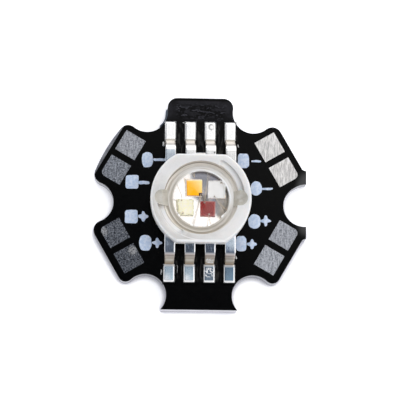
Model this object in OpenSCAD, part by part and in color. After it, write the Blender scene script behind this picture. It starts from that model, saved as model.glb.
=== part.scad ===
// High power four-die light emitter soldered on a six-armed star board.
// Origin: on the underside of the aluminium plate, below the middle of the emitter.
// +Z up, +Y towards lead row 1 to 4.

/* [Star board] */
// Width of the board across its flats
board_af = 20; // [19:0.5:23]
// Thickness of the aluminium plate
plate_t = 1.5; // [1:0.1:2.4]
// How far the outline was punched off the copper pattern's middle, towards lead row 1 to 4
punch_shift = -0.08; // [-0.2:0.02:0.2]
// Radius of the six half-round screw notches
notch_r = 1.95; // [1.7:0.05:2.1]
// How far the second cut of the right notch lies from the first, inwards and down
notch_step = 0.24; // [0.12:0.02:0.3]
// Radius of the rounded arm corners
corner_r = 0.9; // [0.5:0.1:1.1]
// Radius of the two arm corners beside the lower notches
low_corner_r = 0.7; // [0.5:0.1:1.1]
// How far the upper left arm's edge bulges where it was sheared
edge_bulge = 0.16; // [0.05:0.01:0.2]
// Distance from the right notch's centre back to the line where the panel tabs broke
tab_back = 0.02; // [0:0.02:0.3]
// How far the broken panel tabs stand out past the arm edges
tab_flare = 0.24; // [0.05:0.01:0.3]
// Thickness of the insulating layer
dielectric_t = 0.08; // [0.05:0.01:0.2]
// Thickness of the copper
copper_t = 0.07; // [0.035:0.005:0.14]
// Thickness of the solder mask above the copper
mask_t = 0.03; // [0.02:0.01:0.06]
// How far the coating has peeled back from the upper left arm's edge
coat_back = 0.16; // [0.04:0.02:0.3]

/* [Wire pads] */
// Side of each wire pad
pad_side = 2.1; // [1.6:0.1:2.2]
// Gap between the two wire pads of an arm
pad_gap = 0.62; // [0.4:0.05:0.8]
// Distance from a wire pad to the edge of its arm
pad_edge = 0.62; // [0.5:0.05:0.9]
// Rounding of the wire pad corner beside a side notch
pad_corner_r = 0.45; // [0.2:0.05:0.8]
// Height of the tin on a wire pad above the solder mask
pad_tin_h = 0.02; // [0.01:0.01:0.06]
// Width of the copper tracks
track_w = 0.5; // [0.35:0.05:0.6]

/* [Leads] */
// Distance between neighbouring leads
lead_pitch = 1.87; // [1.7:0.01:2]
// Width of a lead
lead_w = 1; // [0.7:0.05:1.2]
// Thickness of the lead strip
lead_t = 0.3; // [0.2:0.05:0.35]
// Distance from lead tip to lead tip across the body
lead_span = 15.16; // [14.6:0.1:16]
// Height of a lead's upper face above the board, where it leaves the body
lead_h = 1.86; // [1.6:0.02:2]
// Length of the flat foot
foot_l = 1.65; // [1.2:0.05:1.8]
// Slope of the leg between the two bends, in degrees
leg_angle = 65; // [50:1:80]
// Inner radius of the two bends
bend_r = 0.2; // [0.1:0.05:0.3]
// Thickness of the solder under a foot
foot_solder_t = 0.05; // [0.03:0.01:0.1]
// Width of the solder fillet beside a foot
fillet_w = 0.06; // [0.04:0.01:0.2]
// Length of the solder fillet in front of the tip and behind the heel
fillet_l = 0.12; // [0.1:0.02:0.4]

/* [Body] */
// Diameter of the moulded body
body_d = 9.32; // [9.1:0.02:10]
// Width of the body across its two flats
body_flats = 8.06; // [7.6:0.02:8.6]
// Height of the body's rim above the board
body_h = 3.16; // [2.9:0.02:4]
// Rounding of the rim's outer edge
rim_r = 0.22; // [0.05:0.01:0.3]
// How far the body below the leads is set in
skirt_inset = 0.4; // [0.1:0.05:0.6]
// Gap between the body and the board
body_gap = 0.15; // [0.11:0.01:0.3]
// Diameter of the round well that holds the lens
well_d = 6.88; // [6.7:0.02:7]
// Height of the well's floor above the board
seat_h = 2; // [1.98:0.02:2.2]
// Distance of the two lug pockets from the middle
lug_ring_r = 3.6; // [3.5:0.02:3.7]
// Radius of a lug pocket
pocket_r = 0.7; // [0.64:0.02:0.76]
// Outer radius of the two bayonet ramps
ramp_r = 4.04; // [3.8:0.02:4.1]
// Angle that a bayonet ramp runs from its pocket, in degrees
ramp_angle = 60; // [40:1:75]
// Height of a ramp's floor above the board at its middle
ramp_h = 2.72; // [2.6:0.02:2.8]
// Slope of a ramp's floor, in degrees
ramp_slope = 6; // [0:0.5:8]
// Width of the moulding gate stub on the upper flat
gate_w = 0.74; // [0.4:0.02:1]
// Length of the slope on the stub's left side
gate_slope = 1; // [0.2:0.1:1.2]

/* [Heat slug] */
// Diameter of the slug's base
slug_d = 5.8; // [5:0.1:6]
// Height of the slug's base flange
slug_flange_h = 0.5; // [0.3:0.05:0.7]
// Diameter of the slug's upper boss
boss_d = 4.6; // [4.2:0.1:4.8]
// Height of the slug's top face above the board
floor_h = 1.15; // [1:0.01:1.25]
// Diameter of the opening around the dice
floor_d = 3.7; // [3.5:0.05:3.9]
// Thickness of the solder under the slug
slug_solder_t = 0.1; // [0.05:0.01:0.15]

/* [Lens] */
// Radius of the clear dome
dome_r = 2.62; // [2.5:0.01:2.7]
// Wall of the hollow lens
lens_wall = 0.32; // [0.2:0.02:0.36]
// Height of the dome's centre above the lens seat
dome_rise = 0.1; // [0:0.02:0.2]
// Thickness of the lens flange
flange_t = 0.2; // [0.1:0.01:0.3]
// Height of the raised collar around the dome
collar_h = 0.34; // [0.32:0.01:0.5]
// Outer radius of the raised collar
collar_r = 3.04; // [2.9:0.02:3.1]
// Thickness of the two lens lugs
lug_t = 0.8; // [0.4:0.05:0.9]
// Radius of the two lens lugs
lug_r = 0.56; // [0.4:0.02:0.6]
// Clearance between the lens and its well
lens_gap = 0.08; // [0.04:0.01:0.15]

/* [Dice and wires] */
// Side of the white die
white_side = 0.86; // [0.8:0.01:0.95]
// Side of the blue die
blue_side = 0.88; // [0.8:0.01:0.95]
// Side of the green die
green_side = 0.9; // [0.8:0.01:0.95]
// Side of the red die
red_side = 0.81; // [0.75:0.01:0.9]
// Thickness of a die
die_t = 0.1; // [0.08:0.01:0.16]
// Thickness of the layer that bonds a die to the slug
attach_t = 0.03; // [0.02:0.01:0.05]
// Thickness of the phosphor plate on the white die
phosphor_t = 0.06; // [0.04:0.01:0.1]
// Side of the notch in the phosphor plate's corner
phosphor_notch = 0.18; // [0.14:0.01:0.25]
// Diameter of a bond wire
wire_d = 0.03; // [0.025:0.005:0.06]
// Diameter of a bond at either end of a wire
bond_d = 0.09; // [0.08:0.01:0.12]
// Height of a bond
bond_h = 0.03; // [0.03:0.005:0.05]
// Least height of a bond wire's arch above the line between its ends
loop_min = 0.16; // [0.12:0.01:0.2]
// Share of that line's length which is added to the arch
loop_share = 0.14; // [0.08:0.01:0.18]
// Distance from the middle to the bond on a lead
bond_ring_r = 2.12; // [2.1:0.01:2.16]
// Width of a lead's inner finger
finger_w = 0.6; // [0.4:0.02:0.7]
// How far a finger reaches past its bond
finger_reach = 0.2; // [0.1:0.02:0.25]

/* [Hidden] */
$fn = 64;
WHITE = 0;
BLUE = 1;
GREEN = 2;
RED = 3;
DIE_NAMES = ["white", "blue", "green", "red"];
over = 1;

SHARP = 0;
TORN = -1;
// Each arm of the board: its direction, and its clockwise and anticlockwise corner, where a number is a radius
ARMS = [
    [30, TORN, corner_r], [90, corner_r, corner_r], [150, corner_r, corner_r],
    [210, corner_r, low_corner_r], [270, SHARP, SHARP], [330, low_corner_r, TORN]
];
PEELED_ARM = 150;

apothem = board_af / 2;
notch_ring = apothem;
break_x = notch_ring - tab_back;

copper_z = plate_t + dielectric_t;
copper_top = copper_z + copper_t;
board_top = copper_top + mask_t;
pad_top = board_top + pad_tin_h;
thermal_pad_margin = 0.2;
// The inner leads' tracks leave this gap to the lands before they turn outwards
lane_gap = 0.9;

lead_top = board_top + lead_h;
lead_bottom = lead_top - lead_t;
foot_bottom = copper_top + foot_solder_t;
neutral_r = bend_r + lead_t / 2;
leg_l = (lead_bottom - foot_bottom - 2 * neutral_r * (1 - cos(leg_angle))) / sin(leg_angle);
tip_y = lead_span / 2;
heel_y = tip_y - foot_l;
shoulder_y = heel_y - 2 * neutral_r * sin(leg_angle) - leg_l * cos(leg_angle);
solder_tip_y = tip_y + fillet_l;
solder_heel_y = heel_y - fillet_l;
solder_half_w = lead_w / 2 + fillet_w;
solder_top = foot_bottom + 0.7 * lead_t;
land_margin = 0.05;

body_bottom = board_top + body_gap;
body_top = board_top + body_h;
seat_z = board_top + seat_h;
floor_z = board_top + floor_h;
slug_bottom = copper_top + slug_solder_t;
join_y = body_flats / 2 - 0.9;
join_overlap = 0.1;
bend_steps = 8;
corner_steps = 8;
// A rounded corner stops this many degrees before it would touch the notch
corner_stop = 6;
// The arm's edge begins to flare at this distance from the break
tab_gap = 0.07 * apothem;
bulge_steps = 6;
// Height of the step in the right notch above the notch's middle
step_y = 0.28 * notch_r;
step_way = 210;
// The rounded end of a ramp is a little narrower than the ramp
ramp_nose_share = 0.9;
gate_reach = 0.14;
gate_drop = 0.1;
gate_h = 0.6;
gate_root = 0.5;

dome_z = seat_z + dome_rise;
pocket_dome_r = dome_r - lens_wall;
flange_r = well_d / 2 - lens_gap;

die_bottom = floor_z + attach_t;
die_top = die_bottom + die_t;
// Middle of each die, in the order of DIE_NAMES, as a share of the opening's radius
DIE_AT = floor_d / 2 * [[-0.169, 0.378], [0.475, 0.339], [-0.432, -0.2], [0.235, -0.23]];
DIE_SIDES = [white_side, blue_side, green_side, red_side];
// The wire of each lead, 1 to 8: its die, and where its bond sits as a share of the die's half side.
// A share above 1 lies on the slug beside the die.
WIRES = [
    [GREEN, [-0.6, 1]], [WHITE, [0, 1.7]], [RED, [-0.5, 1]], [BLUE, [0.7, 1]],
    [GREEN, [-0.5, -1]], [WHITE, [1, -1]], [RED, [0.3, -1]], [BLUE, [-0.2, -1]]
];
bond_inset = 0.07;
wire_sides = 12;
inner_bond_angle = 76;
outer_bond_angle = 33;
// Distance from the middle row to where a lead's full width begins inside the body
outer_root_y = 2.6;
inner_root_y = 3;

// Lead numbers run left to right along the upper row, then left to right along the lower row
function lead_column(i) = (i - 1) % 4;
function lead_x(i) = (lead_column(i) - 1.5) * lead_pitch;
function row_side(i) = i <= 4 ? 1 : -1;
function column_side(i) = lead_column(i) < 2 ? -1 : 1;
function is_outer(i) = lead_column(i) == 0 || lead_column(i) == 3;
function bond_angle(i) = is_outer(i) ? outer_bond_angle : inner_bond_angle;
function lead_bond(i) = bond_ring_r * [column_side(i) * cos(bond_angle(i)), row_side(i) * sin(bond_angle(i))];
function die_bond(w) = DIE_AT[w[0]] + (DIE_SIDES[w[0]] / 2 - bond_inset) * w[1];
function bond_z(w) = max(w[1]) > 1 ? floor_z : die_top;
// Middle of a wire pad in its arm: the side is 1 or -1 along the arm's edge
function pad_radius() = apothem - pad_edge - pad_side / 2;
function pad_offset() = (pad_side + pad_gap) / 2;

// Flat shapes

module ring_sector(inner_r, wall, from, to) {
    reach = 2 * (inner_r + wall);
    mid = (from + to) / 2;
    intersection() {
        difference() {
            circle(inner_r + wall);
            circle(inner_r);
        }
        polygon([
            [0, 0],
            reach * [cos(from), sin(from)],
            reach * [cos(mid), sin(mid)],
            reach * [cos(to), sin(to)]
        ]);
    }
}

function normal_of(points, k) = let (way = points[k] - points[k - 1]) [-way[1], way[0]] / norm(way);

// One edge of a strip along the points, with mitred corners
function strip_edge(points, reach) = [for (k = [0:len(points) - 1])
    let (before = normal_of(points, max(k, 1)), after = normal_of(points, min(k + 1, len(points) - 1)))
    points[k] + reach * (before + after) / (1 + before * after)];

function reversed(points) = [for (k = [len(points) - 1:-1:0]) points[k]];

module strip_2d(points, width) {
    polygon(concat(strip_edge(points, width / 2), reversed(strip_edge(points, -width / 2))));
}

function turned(p, a) = [p[0] * cos(a) - p[1] * sin(a), p[0] * sin(a) + p[1] * cos(a)];

function arc(centre, r, from, to, steps) =
    [for (k = [0:steps]) let (a = from + (to - from) * k / steps) centre + r * [cos(a), sin(a)]];

// An arm lies along +X here, with a screw notch at 30 degrees to each side.
// Its corner at +Y is sharp, or rounded into the notch, or flares out to the line where the panel broke.
notch_x = notch_ring * cos(30);
notch_y = notch_ring * sin(30);

function round_corner(r) =
    let (x = apothem - r, y = notch_y - sqrt(pow(notch_r + r, 2) - pow(x - notch_x, 2)))
    arc([x, y], r, 0, atan2(notch_y - y, notch_x - x) - corner_stop, corner_steps);

function break_line_y(x) = (break_x - x * cos(30)) / sin(30);

function corner_points(kind) =
    kind == SHARP ? [[apothem, notch_y]] :
    kind == TORN ? [
        [apothem, break_line_y(apothem) - tab_gap],
        [apothem + tab_flare, break_line_y(apothem + tab_flare)]
    ] :
    round_corner(kind);

function void_point(kind) = kind == TORN ? break_x * [cos(30), sin(30)] : [notch_x, notch_y];

// An arm's edge between its corners, which bows out by the bulge
function edge_points(bulge, half) = bulge == 0 ? [] :
    [for (k = [1 - bulge_steps:bulge_steps - 1]) let (y = half * k / bulge_steps)
        [apothem + bulge * (1 - pow(y / half, 2)), y]];

function arm_points(arm, bulge) =
    let (clockwise = [for (p = reversed(corner_points(arm[1]))) [p[0], -p[1]]],
        half = corner_points(arm[2])[0][1],
        edge = edge_points(arm[0] == PEELED_ARM ? bulge : 0, half))
    [for (p = concat(clockwise, edge, corner_points(arm[2]), [void_point(arm[2])])) turned(p, arm[0])];

module centred_outline(bulge) {
    difference() {
        polygon([for (arm = ARMS) for (p = arm_points(arm, bulge)) p]);
        for (a = [0:60:300]) rotate(a) translate([notch_ring, 0]) circle(notch_r);
        intersection() {
            translate([notch_ring, 0] + notch_step * [cos(step_way), sin(step_way)]) circle(notch_r);
            translate([0, step_y - apothem]) square(apothem + notch_r);
        }
    }
}

module plate_outline() {
    translate([0, punch_shift]) centred_outline(edge_bulge);
}

module coated_outline() {
    translate([0, punch_shift]) difference() {
        centred_outline(0);
        rotate(PEELED_ARM) translate([apothem - coat_back, -apothem]) square(2 * apothem);
    }
}

// A wire pad with one rounded corner, at +X and -Y of its middle
module wire_pad_2d(grow) {
    side = pad_side + 2 * grow;
    r = pad_corner_r + grow;
    difference() {
        square(side, center = true);
        translate([side / 2 - r, r - side / 2]) difference() {
            translate([0, -r]) square(r);
            circle(r);
        }
    }
}

// Copies its children, drawn for lead 4 or lead 3, to the place of lead i
module to_quadrant(i) {
    mirror([column_side(i) < 0 ? 1 : 0, 0]) mirror([0, row_side(i) < 0 ? 1 : 0]) children();
}

module wire_pad_at(i, grow) {
    side = is_outer(i) ? 1 : -1;
    to_quadrant(i) rotate(30) translate([pad_radius(), side * pad_offset()])
        if (is_outer(i)) square(pad_side + 2 * grow, center = true);
        else wire_pad_2d(grow);
}

module land_at(i, grow) {
    to_quadrant(i) translate([abs(lead_x(i)) - solder_half_w - grow, solder_heel_y - grow])
        square([2 * (solder_half_w + grow), solder_tip_y - solder_heel_y + 2 * grow]);
}

module trace_2d(i) {
    x = abs(lead_x(i));
    land_mid = (solder_heel_y + solder_tip_y) / 2;
    lane_y = solder_heel_y - lane_gap;
    arm = [cos(30), sin(30)];
    across = [-sin(30), cos(30)];
    pad = pad_radius() * arm + (is_outer(i) ? 1 : -1) * pad_offset() * across;
    land_at(i, land_margin);
    wire_pad_at(i, land_margin);
    to_quadrant(i)
        if (is_outer(i)) strip_2d([[x, land_mid], pad], track_w);
        else strip_2d([[x, land_mid], [x, lane_y], pad], track_w);
}

module lead_plan_2d(i, end_y) {
    x = abs(lead_x(i));
    root_y = is_outer(i) ? outer_root_y : inner_root_y;
    root = [x, root_y + finger_w / 2];
    bond = bond_ring_r * [cos(bond_angle(i)), sin(bond_angle(i))];
    tip = bond + finger_reach * (bond - root) / norm(bond - root);
    to_quadrant(i) {
        translate([x - lead_w / 2, root_y]) square([lead_w, end_y - root_y]);
        strip_2d([root, tip], finger_w);
    }
}

// Side view of a lead outside the body, as a strip of even thickness: X is the way out, Y is up
module lead_profile() {
    shoulder = [shoulder_y, lead_bottom - bend_r];
    heel = [heel_y, foot_bottom + lead_t + bend_r];
    outer_r = bend_r + lead_t;
    polygon(concat(
        [[join_y, lead_bottom], [join_y, lead_top]],
        arc(shoulder, outer_r, 90, 90 - leg_angle, bend_steps),
        arc(heel, bend_r, 270 - leg_angle, 270, bend_steps),
        [[tip_y, foot_bottom + lead_t], [tip_y, foot_bottom]],
        arc(heel, outer_r, 270, 270 - leg_angle, bend_steps),
        arc(shoulder, bend_r, 90 - leg_angle, 90, bend_steps)
    ));
}

// Board

module base_plate() {
    color("silver") linear_extrude(plate_t) plate_outline();
}

module dielectric_layer() {
    color("gainsboro") translate([0, 0, plate_t]) linear_extrude(dielectric_t) coated_outline();
}

module thermal_pad() {
    color("peru") translate([0, 0, copper_z]) cylinder(h = copper_t, d = slug_d + 2 * thermal_pad_margin);
}

module trace(i) {
    color("peru") translate([0, 0, copper_z]) {
        linear_extrude(copper_t) trace_2d(i);
        linear_extrude(pad_top - copper_z) wire_pad_at(i, 0);
    }
}

module solder_mask() {
    color([0.06, 0.06, 0.07]) difference() {
        translate([0, 0, copper_z]) linear_extrude(board_top - copper_z) coated_outline();
        thermal_pad();
        translate([0, 0, copper_z]) cylinder(h = over, d = slug_d + thermal_pad_margin);
        for (i = [1:8]) {
            trace(i);
            translate([0, 0, copper_z]) linear_extrude(over) land_at(i, 0);
        }
    }
}

module slug_solder() {
    color("lightgray") translate([0, 0, copper_top]) cylinder(h = slug_solder_t, d = slug_d);
}

// A hipped mound on the land, cut to fit around the foot
module lead_solder(i) {
    top_half_w = lead_w / 2 + 0.02;
    height = solder_top - copper_top;
    length = solder_tip_y - solder_heel_y;
    color("lightgray") difference() {
        to_quadrant_3d(i) translate([abs(lead_x(i)), solder_heel_y, copper_top]) intersection() {
            rotate([90, 0, 0]) translate([0, 0, -length]) linear_extrude(length) polygon([
                [-solder_half_w, 0], [solder_half_w, 0], [top_half_w, height], [-top_half_w, height]
            ]);
            rotate([90, 0, 90]) translate([0, 0, -over]) linear_extrude(2 * over) polygon([
                [0, 0], [length, 0], [length - 0.7 * fillet_l, height], [0.5 * fillet_l, height]
            ]);
        }
        lead(i);
    }
}

// Emitter

module to_quadrant_3d(i) {
    mirror([column_side(i) < 0 ? 1 : 0, 0, 0]) mirror([0, row_side(i) < 0 ? 1 : 0, 0]) children();
}

module heat_slug() {
    color("silver") translate([0, 0, slug_bottom]) {
        cylinder(h = slug_flange_h, d = slug_d);
        cylinder(h = floor_z - slug_bottom, d = boss_d);
    }
}

module lead(i) {
    color("gainsboro") {
        translate([0, 0, lead_bottom]) linear_extrude(lead_t) lead_plan_2d(i, join_y + join_overlap);
        to_quadrant_3d(i) translate([abs(lead_x(i)) - lead_w / 2, 0, 0]) rotate([90, 0, 90])
            linear_extrude(lead_w) lead_profile();
    }
}

module upper_body() {
    height = body_top - lead_bottom;
    r = body_d / 2;
    intersection() {
        rotate_extrude() {
            square([r - rim_r, height]);
            square([r, height - rim_r]);
            translate([r - rim_r, height - rim_r]) circle(rim_r);
        }
        translate([-body_d, -body_flats / 2, -over]) cube([2 * body_d, body_flats, height + 2 * over]);
    }
}

module skirt() {
    intersection() {
        cylinder(h = lead_bottom - body_bottom, r = body_d / 2 - skirt_inset);
        translate([-body_d, skirt_inset - body_flats / 2, -over])
            cube([2 * body_d, body_flats - 2 * skirt_inset, body_h + 2 * over]);
    }
}

// The ramp is drawn about its own middle and tilted, so that its floor rises away from the pocket
module bayonet_ramp() {
    mid = ramp_angle / 2;
    tip_r = (ramp_r - well_d / 2) / 2;
    ring = well_d / 2 + tip_r;
    rotate(mid) translate([ring, 0, board_top + ramp_h]) rotate([ramp_slope, 0, 0]) translate([-ring, 0, 0])
        linear_extrude(body_h) {
            ring_sector(well_d / 2 - 0.5, tip_r * 2 + 0.5, -mid, mid);
            rotate(mid) translate([ring, 0]) circle(ramp_nose_share * tip_r);
        }
}

module housing() {
    color([0.92, 0.91, 0.88]) difference() {
        union() {
            translate([0, 0, lead_bottom]) upper_body();
            translate([0, 0, body_bottom]) skirt();
            translate([0, body_flats / 2, body_top - gate_drop - gate_h]) linear_extrude(gate_h) polygon([
                [-gate_w / 2 - gate_slope, -gate_root], [-gate_w / 2 - gate_slope, 0],
                [-gate_w / 2, gate_reach], [gate_w / 2, gate_reach], [gate_w / 2, -gate_root]
            ]);
        }
        translate([0, 0, seat_z]) cylinder(h = body_h, d = well_d);
        for (a = [0, 180]) rotate(a) {
            translate([lug_ring_r, 0, seat_z]) cylinder(h = body_h, r = pocket_r);
            translate([0, -pocket_r, seat_z]) cube([lug_ring_r, 2 * pocket_r, body_h]);
            bayonet_ramp();
        }
        translate([0, 0, lead_bottom]) cylinder(h = body_h, r = pocket_dome_r);
        translate([0, 0, floor_z]) cylinder(h = body_h, d = floor_d);
        heat_slug();
        for (i = [1:8]) translate([0, 0, lead_bottom]) linear_extrude(lead_t) lead_plan_2d(i, shoulder_y);
    }
}

module lens() {
    color([0.93, 0.95, 0.97, 0.4]) translate([0, 0, seat_z]) {
        rotate_extrude() difference() {
            intersection() {
                union() {
                    translate([0, dome_rise]) circle(dome_r);
                    square([flange_r, flange_t]);
                    square([collar_r, collar_h]);
                }
                square([2 * flange_r, 2 * dome_r]);
            }
            translate([0, dome_rise]) circle(pocket_dome_r);
            translate([0, -over]) square([pocket_dome_r, over + dome_rise]);
        }
        for (a = [0, 180]) rotate(a) difference() {
            union() {
                translate([lug_ring_r, 0, 0]) cylinder(h = lug_t, r = lug_r);
                translate([0, -lug_r, 0]) cube([lug_ring_r, 2 * lug_r, lug_t]);
            }
            translate([0, 0, -over]) cylinder(h = lug_t + 2 * over, r = (dome_r + collar_r) / 2);
        }
    }
}

// Clear gel fills the space between the slug and the inside of the lens
module gel_fill() {
    color([0.95, 0.96, 0.97, 0.3]) difference() {
        rotate_extrude() {
            translate([0, floor_z]) square([floor_d / 2, dome_z - floor_z]);
            translate([0, lead_bottom]) square([pocket_dome_r, dome_z - lead_bottom]);
            intersection() {
                translate([0, dome_z]) circle(pocket_dome_r);
                translate([0, dome_z]) square(2 * dome_r);
            }
        }
        for (d = [WHITE:RED]) {
            die_attach(d);
            die(d);
        }
        phosphor_plate();
        for (i = [1:8]) {
            translate([0, 0, lead_bottom]) linear_extrude(lead_t) lead_plan_2d(i, join_y);
            bond_wire(i);
        }
    }
}

// Dice

module die_plate(d, z, t) {
    translate([DIE_AT[d][0], DIE_AT[d][1], z]) translate([-DIE_SIDES[d] / 2, -DIE_SIDES[d] / 2, 0])
        cube([DIE_SIDES[d], DIE_SIDES[d], t]);
}

module die_attach(d) {
    color("dimgray") die_plate(d, floor_z, attach_t);
}

module die(d) {
    shades = [[0.35, 0.3, 0.22], [0.86, 0.87, 0.88], [0.9, 0.9, 0.74], [0.6, 0.17, 0.17]];
    color(shades[d]) die_plate(d, die_bottom, die_t);
}

// The plate covers the white die up to a corner notch for the wire
module phosphor_plate() {
    half = white_side / 2;
    color([1, 0.74, 0.2]) translate([DIE_AT[WHITE][0], DIE_AT[WHITE][1], die_top]) difference() {
        translate([-half, -half, 0]) cube([white_side, white_side, phosphor_t]);
        translate([half - phosphor_notch, -half - over, -over])
            cube([phosphor_notch + over, phosphor_notch + over, phosphor_t + 2 * over]);
    }
}

// A wire arches from the bond on its die, or beside it, to the bond on its lead
module bond_wire(i) {
    wire = WIRES[i - 1];
    start = die_bond(wire);
    way = lead_bond(i) - start;
    run = norm(way);
    rise = lead_top - bond_z(wire);
    chord = norm([run, rise]);
    arch = loop_min + loop_share * chord;
    r = (chord * chord / 4 + arch * arch) / (2 * arch);
    tilt = atan2(rise, run);
    half_turn = asin(chord / 2 / r);
    middle = [run / 2, rise / 2] + (r - arch) * [sin(tilt), -cos(tilt)];
    color("gold") translate([start[0], start[1], bond_z(wire)]) rotate(atan2(way[1], way[0])) {
        cylinder(h = bond_h, d = bond_d);
        translate([run, 0, rise]) cylinder(h = bond_h, d = bond_d);
        translate([middle[0], 0, middle[1] + bond_h]) rotate([90, 0, 0]) rotate(90 + tilt - half_turn)
            rotate_extrude(angle = 2 * half_turn) translate([r, 0]) circle(d = wire_d, $fn = wire_sides);
    }
}

base_plate();
dielectric_layer();
thermal_pad();
solder_mask();
slug_solder();
heat_slug();
housing();
lens();
gel_fill();
phosphor_plate();
for (i = [1:8]) {
    trace(i);
    lead(i);
    lead_solder(i);
    bond_wire(i);
}
for (d = [WHITE:RED]) {
    die_attach(d);
    die(d);
}
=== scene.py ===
"""Looks of the four-die light emitter on its star board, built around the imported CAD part."""

import math
import random

import bmesh
import bpy
from mathutils import Matrix, Vector, noise


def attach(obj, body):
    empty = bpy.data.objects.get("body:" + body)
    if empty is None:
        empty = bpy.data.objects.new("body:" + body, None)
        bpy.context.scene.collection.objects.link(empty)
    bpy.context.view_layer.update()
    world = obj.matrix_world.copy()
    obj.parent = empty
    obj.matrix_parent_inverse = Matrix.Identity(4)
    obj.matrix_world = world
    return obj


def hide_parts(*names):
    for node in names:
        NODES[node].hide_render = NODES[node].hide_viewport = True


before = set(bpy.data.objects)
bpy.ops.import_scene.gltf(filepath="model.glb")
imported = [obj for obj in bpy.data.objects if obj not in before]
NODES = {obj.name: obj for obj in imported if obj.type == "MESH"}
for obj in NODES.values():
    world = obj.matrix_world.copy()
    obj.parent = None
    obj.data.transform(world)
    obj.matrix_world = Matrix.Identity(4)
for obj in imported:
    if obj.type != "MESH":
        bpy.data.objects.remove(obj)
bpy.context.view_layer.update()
SCENE = bpy.context.scene
MM = 0.001
TINY = 1e-6
# Where most of a noise texture's values lie
NOISE_RANGE = (0.3, 0.7)
# The way over the board towards the light, which several looks follow
LIGHT_WAY = (0.6, 0.8)

# Sizes in millimetres, as in the CAD source
BOARD_TOP = 1.68
# Marks and splashes start a little inside the coating
MARK_LOW = BOARD_TOP - 0.004
MARK_T = 0.012
LEAD_TOP = 3.54
LEAD_T = 0.3
LEAD_W = 0.98
LEAD_EDGE = 0.11
LEAD_NECK = 0.14
NECK_END = 0.1
LEAD_PITCH = 1.87
TIP_Y = 7.58
LOWER_TIP_Y = 7.52
HEEL_Y = 5.93
SHOULDER_Y = 4.766
BEND_R = 0.35
LEG_ANGLE = 65
FOOT_Z = 1.85
SEAT_Z = 3.68
DOME_Z = 3.75
DOME_R = 2.65
FLANGE_R = 3.43
COLLAR_R = 3.1
LUG_RING_R = 3.6
LUG_R = 0.56
LUG_T = 0.8
POCKET_R = 0.7
FLOOR_Z = 2.83
DIE_TOP = 2.96
PHOSPHOR_TOP = 3.02
OPENING_R = 1.85
BODY_TOP = 4.84
BODY_R = 4.66
FLAT_Y = 4.03
FLANGE_T = 0.2
COLLAR_T = 0.34
COLLAR_RISE = 0.1
LUG_INNER = 3.3
LUG_SINK = 0.2
# How far pieces that meet reach into each other
OVERLAP = 0.02
# Where each lead's strip starts inside the body and where it comes out, by distance from the X axis
STRIP_START = 3.1
STRIP_EXIT = 4.2
# Where the leads' inner fingers end, by radius and by angle from the X axis, and half a finger's width
FINGER_R = 2.12
OUTER_FINGER = 33
INNER_FINGER = 76
FINGER_HALF = 0.3
# How far a finger runs on past its wire, and where the fingers and the blocks behind them start and end
FINGER_PAST = 0.2
OUTER_ROOT = 2.9
INNER_ROOT = 3.3
BLOCK = (2.6, 3.2)
# How far the lens sits off the body's middle
LENS_SHIFT = (0.03, -0.05)
# How far the body's lower flat stands out beyond the CAD's
FLAT_STEP = 0.1
# Edges of the body that turn by more than this many degrees are rounded
ROUNDED_FROM = 30
# How far each lead is rolled, and how its foot turns up at the heel and at the toe, in degrees
LEAD_ROLLS = [0.1, 0.0, 0.1, 0.1, 0.2, 0.1, 0.2, -0.2]
FOOT_RISES = [
    (-0.8, -0.8), (-0.6, -0.6), (-0.5, -0.5), (-0.4, -0.4),
    (0.6, 2.1), (0.3, 2.1), (0.5, 1.7), (-0.2, 1.4),
]
# Where the third lead has a ring mark and a speck, and the seventh a splash, and lumps on its slope
RING_AT = (1.04, 7.13)
SPECK_AT = (1.27, 4.42)
SPLASH_AT = (0.92, -6.62)
SLOPE_LUMP_X = 0.94
DICE = {
    "white": ((-0.169 * OPENING_R, 0.378 * OPENING_R), 0.86),
    "blue": ((0.475 * OPENING_R, 0.339 * OPENING_R), 0.88),
    "green": ((-0.432 * OPENING_R, -0.2 * OPENING_R), 0.9),
    "red": ((0.235 * OPENING_R, -0.23 * OPENING_R), 0.81),
}


# Colour and node helpers

def srgb(r, g, b):
    """Linear colour of an sRGB colour given from 0 to 255."""
    def channel(c):
        c /= 255
        return c / 12.92 if c <= 0.04045 else ((c + 0.055) / 1.055) ** 2.4
    return (channel(r), channel(g), channel(b), 1.0)


def grey(v):
    return srgb(v, v, v)


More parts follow.
